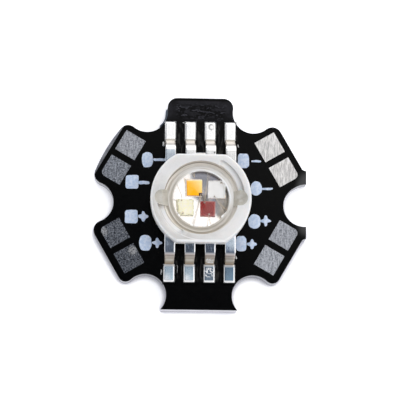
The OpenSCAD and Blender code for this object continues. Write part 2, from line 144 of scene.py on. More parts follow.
class Surface:
    """A node material. Its textures use the object's own place in millimetres."""

    def __init__(self, name, tree=None):
        if tree is None:
            self.material = bpy.data.materials.new(name)
            self.material.use_nodes = True
            tree = self.material.node_tree
        self.tree = tree
        self.tree.nodes.clear()

    def node(self, kind, **values):
        """A new node, where a, b and c are its inputs by number and other names its settings or inputs."""
        made = self.tree.nodes.new("ShaderNode" + kind)
        settings = {k: v for k, v in values.items() if k.islower() and hasattr(made, k)}
        for key, value in settings.items():
            setattr(made, key, value)
        for key, value in values.items():
            if key in settings:
                continue
            name = "abc".index(key) if key in ("a", "b", "c") else key.replace("_", " ")
            self.put(made.inputs[name], value)
        return made

    def put(self, socket, value):
        if isinstance(value, bpy.types.NodeSocket):
            self.tree.links.new(value, socket)
        else:
            socket.default_value = value

    def place(self, stretch=(1, 1, 1), turn=0.0):
        """The point's place in millimetres, turned about Z and stretched."""
        where = self.node("TexCoord").outputs["Object"]
        mapping = self.node("Mapping", Vector=where)
        mapping.inputs["Rotation"].default_value = (0, 0, math.radians(turn))
        mapping.inputs["Scale"].default_value = [s / MM for s in stretch]
        return mapping.outputs["Vector"]

    def noise(self, scale, detail=3.0, roughness=0.55, stretch=(1, 1, 1), turn=0.0):
        return self.node("TexNoise", Vector=self.place(stretch, turn), Scale=scale, Detail=detail,
                         Roughness=roughness).outputs["Fac"]

    def cells(self, scale):
        return self.node("TexVoronoi", Vector=self.place(), Scale=scale).outputs["Distance"]

    def part(self, axis):
        """One coordinate of the place, in millimetres."""
        return self.node("SeparateXYZ", Vector=self.place()).outputs[axis]

    def math(self, operation, a, b=0.0, c=0.0):
        return self.node("Math", operation=operation, a=a, b=b, c=c).outputs[0]

    def off(self, value, middle=0.0):
        """How far a value is from its middle, either way."""
        return self.math("ABSOLUTE", self.math("SUBTRACT", value, middle))

    def slant(self, x_share, y_share):
        """The place along a sloping line over the board, in millimetres."""
        y_part = self.math("MULTIPLY", self.part("Y"), y_share)
        return self.math("MULTIPLY_ADD", self.part("X"), x_share, y_part)

    def span(self, value, low, high, to_low=0.0, to_high=1.0):
        """A smooth step from one value to another, as the input goes from low to high."""
        made = self.node("MapRange", Value=value)
        made.interpolation_type = "SMOOTHSTEP"
        made.inputs["From Min"].default_value = low
        made.inputs["From Max"].default_value = high
        made.inputs["To Min"].default_value = to_low
        made.inputs["To Max"].default_value = to_high
        return made.outputs["Result"]

    def uneven(self, texture, low, high):
        """The usual range of a noise, drawn out between two values."""
        return self.span(texture, *NOISE_RANGE, low, high)

    def blend(self, share, first, second):
        made = self.node("Mix", data_type="RGBA")
        self.put(made.inputs[0], share)
        self.put(made.inputs[6], first)
        self.put(made.inputs[7], second)
        return made.outputs[2]

    def coats(self, base, *layers):
        """A colour with others laid over it in turn, each given as (share, colour)."""
        for share, colour in layers:
            base = self.blend(share, base, colour)
        return base

    def ramp(self, value, stops):
        """A colour that changes along a value, through (place, colour) stops."""
        low, high = stops[0][0], stops[-1][0]
        share = self.math("DIVIDE", self.math("SUBTRACT", value, low), high - low)
        made = self.node("ValToRGB", Fac=share)
        elements = made.color_ramp.elements
        elements[0].color = stops[0][1]
        elements[1].color = stops[-1][1]
        for place, colour in stops[1:-1]:
            elements.new((place - low) / (high - low)).color = colour
        return made.outputs["Color"]

    def product(self, *values):
        total = values[0]
        for value in values[1:]:
            total = self.math("MULTIPLY", total, value)
        return total

    def largest(self, *values):
        most = values[0]
        for value in values[1:]:
            most = self.math("MAXIMUM", most, value)
        return most

    def gap(self, at):
        """Distance in millimetres from an upright line through (x, y)."""
        dx = self.math("SUBTRACT", self.part("X"), at[0])
        dy = self.math("SUBTRACT", self.part("Y"), at[1])
        return self.math("SQRT", self.math("MULTIPLY_ADD", dx, dx, self.math("MULTIPLY", dy, dy)))

    def band(self, value, low, high, soft):
        """One between low and high, nought outside, with soft edges."""
        above = self.span(value, low - soft, low + soft)
        below = self.span(value, high + soft, high - soft)
        return self.product(above, below)

    def bump(self, height, distance):
        """A normal tilted by a height map, whose full height is given in millimetres."""
        return self.node("Bump", Height=height, Distance=distance * MM).outputs["Normal"]

    def principled(self, **values):
        return self.node("BsdfPrincipled", **values).outputs["BSDF"]

    def finish(self, shader):
        self.node("OutputMaterial", Surface=shader)
        return self.material


# Materials

def aluminium():
    """Sheared edges in thin layers, paler on the lower arm as a painted highlight, and a rolled underside."""
    s = Surface("aluminium_plate")
    streaks = s.noise(9, 4, stretch=(1, 1, 0.06))
    layers = s.noise(6, 4, 0.6, stretch=(0.06, 0.06, 1))
    rolled = s.noise(8, 5, 0.7, stretch=(1, 0.05, 1))
    # The lower arm's sheared edge is painted paler, as a painted highlight.
    lit_low_arm = s.span(s.part("Y"), -9.4, -9.7)
    underside = s.span(s.part("Z"), 0.012, 0.004)
    dark = s.blend(lit_low_arm, srgb(112, 112, 118), srgb(176, 176, 184))
    light = s.blend(lit_low_arm, srgb(186, 187, 193), srgb(240, 240, 243))
    rolled_tone = s.blend(s.span(rolled, *NOISE_RANGE), srgb(176, 177, 181), srgb(208, 209, 213))
    sheared_tone = s.blend(s.span(layers, 0.3, 0.76), dark, light)
    return s.finish(s.principled(
        Base_Color=s.blend(underside, sheared_tone, rolled_tone), Metallic=1.0,
        Roughness=s.uneven(streaks, 0.26, 0.46), Normal=s.bump(s.math("ADD", streaks, layers), 0.03),
    ))


def dielectric():
    s = Surface("dielectric")
    grain = s.noise(30, 3)
    return s.finish(s.principled(
        Base_Color=s.blend(grain, grey(118), grey(150)), Roughness=s.uneven(grain, 0.45, 0.65),
        Normal=s.bump(grain, 0.004),
    ))


def copper():
    s = Surface("bare_copper")
    grain = s.noise(22, 3)
    return s.finish(s.principled(
        Base_Color=s.blend(grain, srgb(205, 130, 92), srgb(232, 160, 120)), Metallic=1.0,
        Roughness=s.uneven(grain, 0.3, 0.5), Normal=s.bump(grain, 0.004),
    ))


def black_mask():
    """Glossy coating: creased on the upper arm under a painted sheen, with painted shade in the dips and
    painted highlights on the ridges; smeared with flux between the leads, with painted glints; grey where
    tabs broke off.
    """
    s = Surface("black_mask")
    x, y = s.part("X"), s.part("Y")
    aside, out = s.off(x), s.off(y)
    peel = s.noise(3.2, 4)
    dust = s.span(s.cells(5.5), 0.055, 0.02)

    upper_arm = s.span(y, 7.5, 8.3)
    inside = s.product(s.span(y, 9.74, 9.6), s.span(aside, 3.3, 3.1))
    # A painted sheen, lighter over the upper arm.
    painted_sheen = s.product(upper_arm, inside, s.span(s.noise(0.9, 4), 0.35, 0.6, 0.4, 1.0))
    creased = s.product(s.band(y, 7.9, 9.3, 0.3), s.span(aside, 2.6, 2.0))
    folds = s.noise(1.2, 4, 0.6, stretch=(0.6, 1.5, 1), turn=14)
    # Painted shade in the dips of the creases and painted highlights along their ridges.
    shaded_dips = s.product(s.span(s.off(folds, 0.5), 0.05, 0.025), creased)
    lit_ridges = s.product(s.span(s.off(folds, 0.57), 0.025, 0.0), creased)

    rows = s.product(s.band(out, 4.3, 7.3, 0.3), s.span(aside, 3.6, 3.3))
    clear_of_body = s.largest(s.span(y, -1, 1), s.span(out, 5.0, 5.7))
    runs = s.span(s.noise(3.8, 5, 0.65, stretch=(1, 0.22, 1)), 0.48, 0.62)
    # Flux smeared between the leads, whose grey streaks are painted glints.
    flux_and_glints = s.product(rows, clear_of_body, runs)
    right_arms = s.span(s.math("MULTIPLY_ADD", out, -0.35, x), 8.1, 9.0)
    broken = s.product(right_arms, s.span(out, 3.4, 2.4))

    base = s.coats(
        s.blend(s.product(painted_sheen, 0.32), grey(4), srgb(66, 65, 72)),
        (s.product(shaded_dips, 0.9), grey(3)),
        (s.product(lit_ridges, 0.5), srgb(84, 84, 92)),
        (s.product(flux_and_glints, s.span(y, -1, 1, 0.6, 0.7)), srgb(66, 65, 63)),
        (s.product(broken, 0.7), grey(84)),
        (s.product(dust, 0.08), grey(150)),
    )
    rough = s.math("ADD", s.uneven(peel, 0.1, 0.16), s.product(lit_ridges, 0.12))
    relief = s.math("ADD", s.product(peel, 0.6), s.product(lit_ridges, 0.9))
    relief = s.math("ADD", relief, s.product(flux_and_glints, 6.0))
    return s.finish(s.principled(
        Base_Color=base, Roughness=rough, Specular_IOR_Level=0.07, Normal=s.bump(relief, 0.002),
    ))


def tinned_pad(name, dark, light, turn, shine, speckle, streak, patch=None):
    """Tinned copper, grained and brushed. A patch is a paler place, given as (x, y, radius)."""
    s = Surface(name)
    brushed = s.noise(14, 5, 0.65, stretch=(1, 0.09, 1), turn=turn)
    lines = s.noise(11, 4, 0.7, stretch=(1, 0.12, 1), turn=turn)
    mottle = s.noise(6.5, 5, 0.75)
    specks = s.span(s.cells(5.5), 0.16, 0.04)
    mixed = s.math("MULTIPLY_ADD", lines, streak, s.product(mottle, 1 - streak))
    tone = s.blend(s.span(mixed, 0.4, 0.6), dark, light)
    if patch:
        *middle, radius = patch
        paler = s.product(s.span(s.gap(middle), radius, radius * 0.4), s.span(mottle, 0.35, 0.6))
        tone = s.blend(s.product(paler, 0.8), tone, grey(190))
    tone = s.blend(s.product(specks, speckle), tone, grey(232))
    relief = s.math("ADD", s.product(brushed, 0.8), s.product(mottle, 1.2))
    return s.finish(s.principled(
        Base_Color=tone, Metallic=0.85, Roughness=s.uneven(brushed, shine - 0.06, shine + 0.1),
        Normal=s.bump(relief, 0.012),
    ))


def solder():
    """Bright solder, dark in front of the lower toes."""
    s = Surface("solder")
    lumps = s.noise(4, 4)
    sooty = s.span(s.part("Y"), 0.02 - LOWER_TIP_Y, -0.03 - LOWER_TIP_Y)
    bright = s.blend(lumps, grey(170), grey(228))
    return s.finish(s.principled(
        Base_Color=s.blend(sooty, bright, grey(40)), Metallic=1.0,
        Roughness=s.uneven(s.noise(16, 4), 0.16, 0.34), Normal=s.bump(lumps, 0.05),
    ))


# Colours of the dull stretch between each row's bends, by the distance out from the middle: dull tin crossed
# by painted reflection lines, with painted highlights where it meets the bends
UPPER_SLOPE = [
    (5.02, srgb(254, 253, 251)), (5.12, srgb(216, 212, 208)), (5.2, srgb(178, 173, 168)),
    (5.3, srgb(182, 175, 168)), (5.42, srgb(226, 217, 208)), (5.56, srgb(239, 231, 221)),
    (5.68, srgb(249, 241, 230)), (5.76, srgb(232, 225, 214)), (5.84, srgb(172, 166, 156)),
    (5.91, srgb(198, 193, 184)), (5.98, srgb(254, 253, 251)),
]
LOWER_SLOPE = [
    (4.93, srgb(128, 134, 144)), (5.02, srgb(170, 170, 175)), (5.12, srgb(184, 176, 172)),
    (5.21, srgb(154, 142, 134)), (5.32, srgb(190, 178, 166)), (5.43, srgb(172, 159, 145)),
    (5.53, srgb(210, 199, 184)), (5.62, srgb(198, 184, 166)), (5.7, srgb(164, 150, 132)),
    (5.79, srgb(162, 146, 126)), (5.86, srgb(138, 120, 100)), (5.9, srgb(178, 170, 158)),
    (5.95, srgb(255, 254, 252)), (6.02, srgb(206, 208, 208)), (6.12, srgb(190, 206, 218)),
]
# Painted reflection colours of the lower row from left to right, beside the body and at the feet
LOWER_NEAR = [
    (-2.9, srgb(140, 150, 162)), (-1.6, srgb(112, 122, 132)), (0.2, srgb(104, 114, 126)),
    (1.6, srgb(112, 122, 136)), (2.2, srgb(196, 212, 230)), (3.3, srgb(236, 246, 252)),
]
LOWER_FOOT = [
    (-2.9, srgb(190, 208, 220)), (-0.5, srgb(186, 204, 216)), (0.4, srgb(112, 126, 140)),
    (1.4, srgb(116, 130, 144)), (2.9, srgb(124, 150, 170)),
]


def upper_face(s, out):
    """Bright tin, painted greyer near the body as painted shade, with a grey patch on the first lead, and a
    ring mark and a speck on the third.

    Gives the colour, and the share of it that glows as painted light.
    """
    x = s.part("X")
    near = s.span(out, 4.6, 4.54)
    scuffs = s.span(s.noise(7, 3, stretch=(1, 0.3, 1)), 0.25, 0.5, 0.6, 1.0)
    patch = s.product(s.span(out, 4.72, 4.64), s.span(x, -2.36, -2.42), scuffs)
    # A grey line that also glows a little, as painted light.
    edge = s.product(s.band(out, 4.55, 4.59, 0.025), s.span(x, -2.3, -2.2))
    fading = s.span(x, RING_AT[0] + 0.2, RING_AT[0] - 0.1, 0.3, 1.0)
    gaps = s.span(s.noise(3.4, 3), 0.3, 0.5, 0.4, 1.0)
    ring = s.product(s.band(s.gap(RING_AT), 0.16, 0.31, 0.04), fading, gaps)
    # Painted shade: the lead is greyer near the body.
    base = s.coats(
        s.blend(s.product(near, s.span(out, 3.3, 3.7), 0.6), srgb(253, 252, 250), grey(206)),
        (s.product(edge, 0.9), grey(166)),
        (patch, srgb(190, 199, 208)),
        (s.product(ring, 0.7), grey(96)),
        (s.span(s.gap(SPECK_AT), 0.09, 0.05), grey(40)),
    )
    return base, s.product(edge, 0.5)


def lower_face(s, out):
    """Tin painted with reflections, dark and bluish with a different tone on each lead, with painted white
    highlights along its rims, and a splash on the seventh.

    Gives the colour, and the share of it that glows as painted light.
    """
    x = s.part("X")
    across = s.math("SUBTRACT", s.math("FLOORED_MODULO", x, LEAD_PITCH), LEAD_PITCH / 2)
    # Painted white highlights along each lead's sides and toe.
    side_highlights = s.largest(s.span(across, 0.36, 0.41), s.span(across, -0.43, -0.46))
    rim = s.largest(side_highlights, s.span(out, LOWER_TIP_Y - 0.2, LOWER_TIP_Y - 0.14))
    # Painted reflection tones and streaks, which change from lead to lead.
    streaks = s.span(s.noise(9, 4, 0.65, stretch=(1, 0.25, 1), turn=20), 0.5, 0.62)
    near = s.blend(s.product(streaks, 0.5), s.ramp(x, LOWER_NEAR), srgb(214, 226, 236))
    near = s.blend(s.product(s.span(out, 4.66, 4.92), 0.6), near, srgb(200, 206, 214))
    # Painted reflection: paler middles on the left leads' feet.
    painted_pale_feet = s.product(s.span(out, 6.4, 7.3), s.span(x, 0.2, -0.2), s.span(across, 0.4, -0.4), 0.8)
    foot = s.blend(painted_pale_feet, s.ramp(x, LOWER_FOOT), grey(246))
    base = s.blend(s.span(out, 5.3, 5.7), near, foot)
    threads = s.span(s.off(s.noise(2.1, 3, 0.55), 0.5), 0.045, 0.02)
    splash = s.product(s.span(s.gap(SPLASH_AT), 0.52, 0.38), threads)
    base = s.blend(splash, base, grey(250))
    base = s.blend(s.largest(rim, s.span(out, 3.7, 3.3)), base, grey(252))
    return base, s.largest(rim, s.product(splash, 0.8))


def plated_lead(name, face, slope, shine, lump_x=None):
    """Tinned strip, dull between its bends, where painted dark lines and highlights follow them; the lower
    toes' tips and part of the face glow as painted light.

    One lead's slope, at lump_x, can carry small lumps of solder.
    """
    s = Surface(name)
    x, y = s.part("X"), s.part("Y")
    out = s.off(y)
    drawn = s.noise(16, 4, stretch=(1, 0.05, 1))
    cloud = s.noise(2.2, 4)
    base, glow_share = face(s, out)
    # Painted reflection lines and highlights between the bends.
    dull = s.band(out, slope[0][0], slope[-1][0], 0.02)
    base = s.blend(dull, base, s.ramp(out, slope))
    if lump_x is not None:
        lumps = s.span(s.noise(4, 4, 0.7), 0.47, 0.55)
        lumps = s.product(s.band(out, 5.42, 5.74, 0.05), s.span(s.off(x, lump_x), 0.38, 0.3), lumps)
        base = s.blend(lumps, base, grey(244))
    # Painted highlight: the lower toes' tips glow.
    toe = s.product(s.span(out, LOWER_TIP_Y - 0.1, LOWER_TIP_Y - 0.04), s.span(y, 0, -1))
    painted_face_glow = s.blend(s.product(glow_share, 0.3), grey(0), grey(250))
    return s.finish(s.principled(
        Base_Color=base, Metallic=s.span(s.largest(dull, glow_share), 0, 1, 0.92, 0.35),
        Roughness=s.uneven(drawn, shine, shine + 0.1),
        Normal=s.bump(s.math("ADD", drawn, s.product(cloud, 2.0)), 0.0012),
        Emission_Color=s.blend(toe, painted_face_glow, grey(200)), Emission_Strength=0.6,
    ))


def silver_plate():
    """Plated top of the slug, with painted reflections, a dark rim where it mirrors the body's unlit side and
    a lilac tint above the dice; stained between the dice, and glowing as painted light there and on its
    right.
    """
    s = Surface("silver_plate")
    x, y = s.part("X"), s.part("Y")
    grain = s.noise(20, 4)
    lean = s.slant(0.77, 0.64)
    # Painted reflection: a dark rim.
    rim = s.product(s.span(s.gap((0, 0)), 1.38, 1.46), s.span(lean, 0.4, 0.75))
    glue = s.product(s.span(s.gap((0.3, 0.16)), 0.3, 0.12), s.span(s.noise(5, 4), 0.32, 0.5))
    warm = s.product(s.span(x, 0.7, 1.2), s.span(y, 0.5, 0.0), s.span(lean, 0.1, 0.35))
    # Painted reflection: a lilac tint above the dice.
    lilac_reflection = s.product(s.span(y, 0.9, 1.2), s.span(x, -0.4, 0.1), 0.35)
    base = s.coats(
        s.blend(s.noise(1.6, 3), srgb(252, 247, 243), srgb(255, 251, 248)),
        (rim, grey(8)),
        (s.product(glue, 0.7), srgb(92, 86, 70)),
        (s.product(warm, 0.7), srgb(250, 230, 196)),
        (lilac_reflection, srgb(206, 192, 198)),
    )
    # Painted light: the slug glows between the dice and on its right.
    middle = s.product(s.span(s.off(x, 0.3), 0.5, 0.2), s.span(y, 0.9, 0.6))
    streaks = s.span(s.noise(7, 4, 0.65, stretch=(1, 0.3, 1), turn=-35), 0.35, 0.65, 0.4, 1.6)
    slug_glow = s.blend(s.largest(middle, s.product(warm, 0.75)), grey(0), srgb(88, 78, 66))
    slug_glow = s.blend(rim, slug_glow, grey(0))
    return s.finish(s.principled(
        Base_Color=base, Metallic=0.86, Roughness=s.uneven(grain, 0.1, 0.16), Normal=s.bump(grain, 0.0004),
        Emission_Color=slug_glow, Emission_Strength=streaks,
    ))


def milky_moulding():
    """Pale moulding with painted light: painted shade on its near side, painted highlights along its edges,
    beige painted shade in the well, painted light and shade in the ramps, and a painted highlight line on the
    lower left ramp.
    """
    s = Surface("milky_moulding")
    x, y, z = s.part("X"), s.part("Y"), s.part("Z")
    cloud = s.noise(0.7, 4)
    grain = s.noise(14, 4)
    far = s.gap((0, 0))
    lean = s.slant(*LIGHT_WAY)
    corner = s.span(s.math("SUBTRACT", x, y), 4.2, 5.6)
    # Painted highlights along the round and flat edges.
    round_edge_highlight = s.span(far, BODY_R - 0.2, BODY_R - 0.08)
    flat_edge_highlight = s.span(s.off(y), FLAT_Y - 0.16, FLAT_Y - 0.06)
    # Painted shade: beige down the well's wall.
    wall = s.product(s.span(far, 3.58, 3.46), s.span(z, BODY_TOP - 0.04, BODY_TOP - 0.16))
    sunk = s.span(z, BODY_TOP - 0.02, BODY_TOP - 0.06)
    # Painted light on the ramps' floors and painted shade on their outer walls.
    lit_ramp_foot = s.product(sunk, s.band(far, 3.55, 3.84, 0.04))
    shaded_ramp_wall = s.product(sunk, s.span(far, 3.88, 4.0))
    # A painted highlight line along the lower left ramp's edge.
    edge_highlight = s.product(s.band(far, 3.9, 3.96, 0.03), s.span(lean, -1.2, -2.2), s.span(x, 0.2, -0.8))
    # Painted shade: the base is darker towards the near side.
    base = s.coats(
        s.blend(s.span(lean, -4, 1), srgb(208, 206, 203), srgb(230, 229, 228)),
        (s.span(cloud, 0.35, 0.65, 0, 0.5), srgb(238, 237, 236)),
        (s.product(corner, 0.55), grey(244)),
        (s.product(s.largest(round_edge_highlight, flat_edge_highlight), 0.85), grey(255)),
        (s.product(wall, 0.75), srgb(184, 173, 158)),
        (s.product(lit_ramp_foot, 0.7), grey(250)),
        (s.product(shaded_ramp_wall, 0.4), srgb(196, 193, 188)),
        (s.product(edge_highlight, 0.8), grey(255)),
    )
    return s.finish(s.principled(
        Base_Color=base, Roughness=s.uneven(grain, 0.24, 0.36), Specular_IOR_Level=0.5,
        Subsurface_Weight=0.5, Subsurface_Radius=(0.6, 0.52, 0.45), Subsurface_Scale=0.9 * MM,
        Normal=s.bump(s.math("ADD", grain, s.product(cloud, 2.0)), 0.006),
    ))


# Painted shade rings, and a painted light band between them, on the near side of the lens's foot, as (inner
# radius, outer radius, share, colour)
NEAR_SHADE_RINGS = [
    (2.72, 2.84, 0.6, srgb(166, 158, 144)),
    (2.95, 3.08, 0.8, srgb(240, 236, 228)),
    (3.15, 3.22, 0.5, srgb(170, 160, 145)),
]


def frosted_rim():
    """The lens's frosted foot, with painted light: darker and beige on its near side, ringed there with
    painted shade lines and a painted light band, pale beyond with a painted highlight on its fillet and
    painted shade towards the wall, and glowing as painted light.
    """
    s = Surface("frosted_rim")
    grain = s.noise(18, 4)
    far = s.gap(LENS_SHIFT)
    lean = s.slant(*LIGHT_WAY)
    near = s.span(lean, 0.9, -0.6)
    around = s.math("ARCTAN2", s.part("Y"), s.part("X"))
    wound = s.node("CombineXYZ", X=s.product(far, 9.0), Y=around).outputs[0]
    rings = s.node("TexNoise", Vector=wound, Scale=1.6, Detail=3.0).outputs["Fac"]
    # Painted shade towards the wall on the far side, and a painted highlight on the fillet.
    shaded_far_ledge = s.product(s.span(lean, -0.5, 1.2), s.span(far, 2.95, 3.35))
    fillet_highlight = s.product(s.band(far, 2.64, 2.8, 0.03), s.span(lean, 1.0, 1.8))
    near_shade_rings = [
        (s.product(s.band(far, low, high, 0.03), near, share), tone) for low, high, share, tone in NEAR_SHADE_RINGS
    ]
    # Painted shade: darker towards the near side, with a painted light band outside the rings.
    base = s.coats(
        s.blend(s.span(lean, -2.4, 2.2), srgb(206, 199, 187), srgb(240, 238, 234)),
        (s.product(shaded_far_ledge, 0.6), srgb(206, 199, 188)),
        *near_shade_rings,
        (s.product(s.span(far, 3.25, 3.35), near, 0.8), srgb(246, 243, 238)),
        (fillet_highlight, grey(255)),
        (s.span(rings, 0.5, 0.68, 0.0, 0.45), srgb(178, 169, 155)),
    )
    # A painted glow, stronger towards the outer edge.
    painted_glow = s.blend(s.span(far, 3.0, 3.35, 0.06, 0.3), grey(0), base)
    return s.finish(s.principled(
        Base_Color=base, Roughness=s.uneven(grain, 0.16, 0.28), Specular_IOR_Level=0.6,
        Subsurface_Weight=0.4, Subsurface_Radius=(0.5, 0.45, 0.4), Subsurface_Scale=0.4 * MM,
        Emission_Color=painted_glow, Emission_Strength=1.0, Normal=s.bump(s.math("ADD", grain, rings), 0.01),
    ))


def pocket_gel():
    """Milky gel that has crept over the lens's lugs, paler over their middles, and glowing faintly as painted
    light.
    """
    s = Surface("pocket_gel")
    x = s.part("X")
    cloud = s.noise(1.6, 4)
    grain = s.noise(14, 4)
    off_x = s.off(s.off(x), LUG_RING_R)
    from_lug = s.math("SQRT", s.math("MULTIPLY_ADD", off_x, off_x, s.math("POWER", s.part("Y"), 2.0)))
    middle = s.product(s.span(from_lug, 0.5, 0.2), s.span(cloud, 0.3, 0.55))
    pale = s.blend(s.span(x, -1, 1), srgb(203, 199, 191), srgb(208, 205, 198))
    base = s.blend(s.span(cloud, 0.35, 0.65), srgb(184, 179, 168), srgb(200, 196, 186))
    base = s.blend(middle, base, pale)
    # A faint painted glow.
    return s.finish(s.principled(
        Base_Color=base, Roughness=s.uneven(grain, 0.16, 0.3), Normal=s.bump(cloud, 0.02),
        Subsurface_Weight=0.5, Subsurface_Radius=(0.5, 0.45, 0.4), Subsurface_Scale=0.6 * MM,
        Emission_Color=base, Emission_Strength=0.04,
    ))


def clear_dome():
    """Clear silicone that lets light straight through to what lies inside."""
    s = Surface("clear_dome")
    ripple = s.noise(0.8, 2)
    glass = s.principled(
        Base_Color=grey(255), Roughness=s.uneven(ripple, 0.0, 0.012), IOR=1.45, Transmission_Weight=1.0,
        Normal=s.bump(ripple, 0.002),
    )
    path = s.node("LightPath")
    unseen = s.largest(path.outputs["Is Shadow Ray"], path.outputs["Is Diffuse Ray"])
    return s.finish(s.node("MixShader", a=unseen, b=glass, c=s.node("BsdfTransparent").outputs[0]).outputs[0])


def amber_plate():
    """The phosphor plate: amber, with a painted highlight towards the light and along its far edge, painted
    shade along its near edges, and sides painted pale; it glows as painted light, its sides the most.
    """
    s = Surface("amber_phosphor")
    (middle_x, middle_y), side = DICE["white"]
    half = side / 2
    grain = s.noise(26, 4)
    dx = s.math("SUBTRACT", s.part("X"), middle_x)
    dy = s.math("SUBTRACT", s.part("Y"), middle_y)
    # Painted highlight: paler towards the light.
    slope = s.math("MULTIPLY_ADD", dx, 0.8, s.product(dy, 0.6))
    sides = s.span(s.part("Z"), PHOSPHOR_TOP - 0.01, PHOSPHOR_TOP - 0.02)
    # Painted highlight along the far edge, painted shade along the near edges, and sides painted pale as
    # painted light.
    base = s.coats(
        s.blend(s.span(slope, -0.15, 0.55), srgb(255, 186, 14), srgb(255, 226, 146)),
        (s.span(grain, 0.5, 0.75, 0, 0.35), srgb(240, 162, 10)),
        (s.product(s.span(dy, half - 0.07, half - 0.03), 0.6), srgb(255, 238, 190)),
        (s.product(s.span(dx, 0.05 - half, 0.02 - half), 0.75), srgb(150, 84, 14)),
        (s.product(s.span(dy, 0.05 - half, 0.02 - half), 0.7), srgb(176, 92, 10)),
        (s.product(sides, 0.9), srgb(252, 240, 214)),
    )
    return s.finish(s.principled(
        Base_Color=base, Roughness=s.uneven(grain, 0.45, 0.6), Specular_IOR_Level=0.1,
        Emission_Color=base, Emission_Strength=s.span(sides, 0, 1, 0.3, 0.7), Normal=s.bump(grain, 0.006),
    ))


def chip(name, tones, centre, side, glow, side_glow, rings=0.0, lit_side_tone=None):
    """A die: a mottled face with a broken line inside its edge, and rings round its middle where it has them.

    The tones are the face's two and the line's. It glows with shares of its colour as painted light, and a
    side tone, where given, paints its sides pale as painted light.
    """
    s = Surface(name)
    low, high, line = tones
    grain = s.noise(9, 4)
    reach = s.largest(s.off(s.part("X"), centre[0]), s.off(s.part("Y"), centre[1]))
    rim = s.product(s.span(reach, side / 2 - 0.07, side / 2 - 0.04), s.span(s.noise(12, 2), 0.4, 0.52))
    base = s.blend(s.span(grain, 0.35, 0.65), low, high)
    if rings:
        wave = s.math("SINE", s.product(s.gap(centre), 2 * math.pi / rings))
        base = s.blend(s.span(wave, -0.3, 0.8, 0.0, 0.5), base, line)
    sides = s.span(s.part("Z"), DIE_TOP - 0.004, DIE_TOP - 0.012)
    if lit_side_tone:
        base = s.blend(sides, base, lit_side_tone)
    # Painted light: the face glows, and the sides glow more.
    painted_glow = s.blend(sides, s.blend(glow, grey(0), base), s.blend(side_glow, grey(0), base))
    return s.finish(s.principled(
        Base_Color=s.blend(s.product(rim, 0.8), base, line), Roughness=s.uneven(grain, 0.3, 0.45),
        Specular_IOR_Level=0.15, Emission_Color=painted_glow, Emission_Strength=1.0, Normal=s.bump(grain, 0.004),
    ))


def metal_line(name, low, high):
    s = Surface(name)
    grain = s.noise(24, 2)
    return s.finish(s.principled(
        Base_Color=s.blend(grain, low, high), Metallic=1.0, Roughness=s.uneven(grain, 0.22, 0.36),
        Normal=s.bump(grain, 0.002),
    ))


def ink():
    """Mottled white print with a cool tint."""
    s = Surface("ink")
    mottle = s.noise(4.5, 5, 0.65)
    grain = s.noise(30, 3)
    base = s.blend(s.span(mottle, 0.35, 0.65), srgb(186, 206, 234), srgb(220, 230, 247))
    return s.finish(s.principled(
        Base_Color=base, Roughness=s.uneven(grain, 0.5, 0.7), Normal=s.bump(grain, 0.004),
    ))


# Mesh helpers, in millimetres

def piece(name, verts, faces, material, slot=None, sharp=35):
    """A new piece from points in millimetres."""
    mesh = bpy.data.meshes.new(name)
    mesh.from_pydata([Vector(v) * MM for v in verts], [], faces)
    mesh.update()
    return shown(name, mesh, material, sharp)


def shown(name, mesh, material, sharp=35):
    """Gives a mesh its material and outward normals, and lets it ride on the part."""
    bm = bmesh.new()
    bm.from_mesh(mesh)
    bmesh.ops.recalc_face_normals(bm, faces=bm.faces)
    bm.to_mesh(mesh)
    bm.free()
    mesh.materials.clear()
    mesh.materials.append(material)
    mesh.shade_smooth()
    mesh.set_sharp_from_angle(angle=math.radians(sharp))
    made = bpy.data.objects.new(name, mesh)
    SCENE.collection.objects.link(made)
    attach(made, "root")
    return made


def arc(centre, r, start, end, steps):
    """Points round a centre, between two angles in degrees."""
    angles = [math.radians(start + (end - start) * k / steps) for k in range(steps + 1)]
    return [(centre[0] + r * math.cos(a), centre[1] + r * math.sin(a)) for a in angles]


def loft(rings):
    """Faces that join rings of the same number of points, closed at both ends."""
    count = len(rings[0])
    verts = [p for ring in rings for p in ring]
    faces = []
    for k in range(len(rings) - 1):
        for i in range(count):
            j = (i + 1) % count
            faces.append((k * count + i, k * count + j, (k + 1) * count + j, (k + 1) * count + i))
    faces.append(tuple(range(count))[::-1])
    faces.append(tuple(range((len(rings) - 1) * count, len(rings) * count)))
    return verts, faces


def lathe(profile, segments=160):
    """Turns a closed or axis-to-axis profile of (radius, height) about Z."""
    verts, faces, rows = [], [], []
    for r, z in profile:
        if r < TINY:
            rows.append([len(verts)])
            verts.append((0, 0, z))
            continue
        rows.append(list(range(len(verts), len(verts) + segments)))
        for k in range(segments):
            a = 2 * math.pi * k / segments
            verts.append((r * math.cos(a), r * math.sin(a), z))
    loop = list(range(len(rows))) + ([0] if len(rows[0]) > 1 else [])
    for first, second in zip(loop, loop[1:]):
        low, high = rows[first], rows[second]
        for k in range(segments):
            j = (k + 1) % segments
            ring = [low[k % len(low)], low[j % len(low)], high[j % len(high)], high[k % len(high)]]
            face = list(dict.fromkeys(ring))
            if len(face) > 2:
                faces.append(tuple(face))
    return verts, faces


def joined(*parts):
    """Several sets of points and faces as one."""
    verts, faces = [], []
    for some_verts, some_faces in parts:
        shift = len(verts)
        verts += some_verts
        faces += [tuple(i + shift for i in face) for face in some_faces]
    return verts, faces


def rounded_slab(outline, low, high, edge, steps=3):
    """A flat plate with a rounded upper edge. The outline runs anticlockwise."""
    rings = [[(x, y, low) for x, y in outline]]
    for k in range(steps + 1):
        a = math.pi / 2 * k / steps
        inset = edge * (1 - math.cos(a))
        rings.append([(x, y, high - edge + edge * math.sin(a)) for x, y in shrunk(outline, inset)])
    return loft(rings)


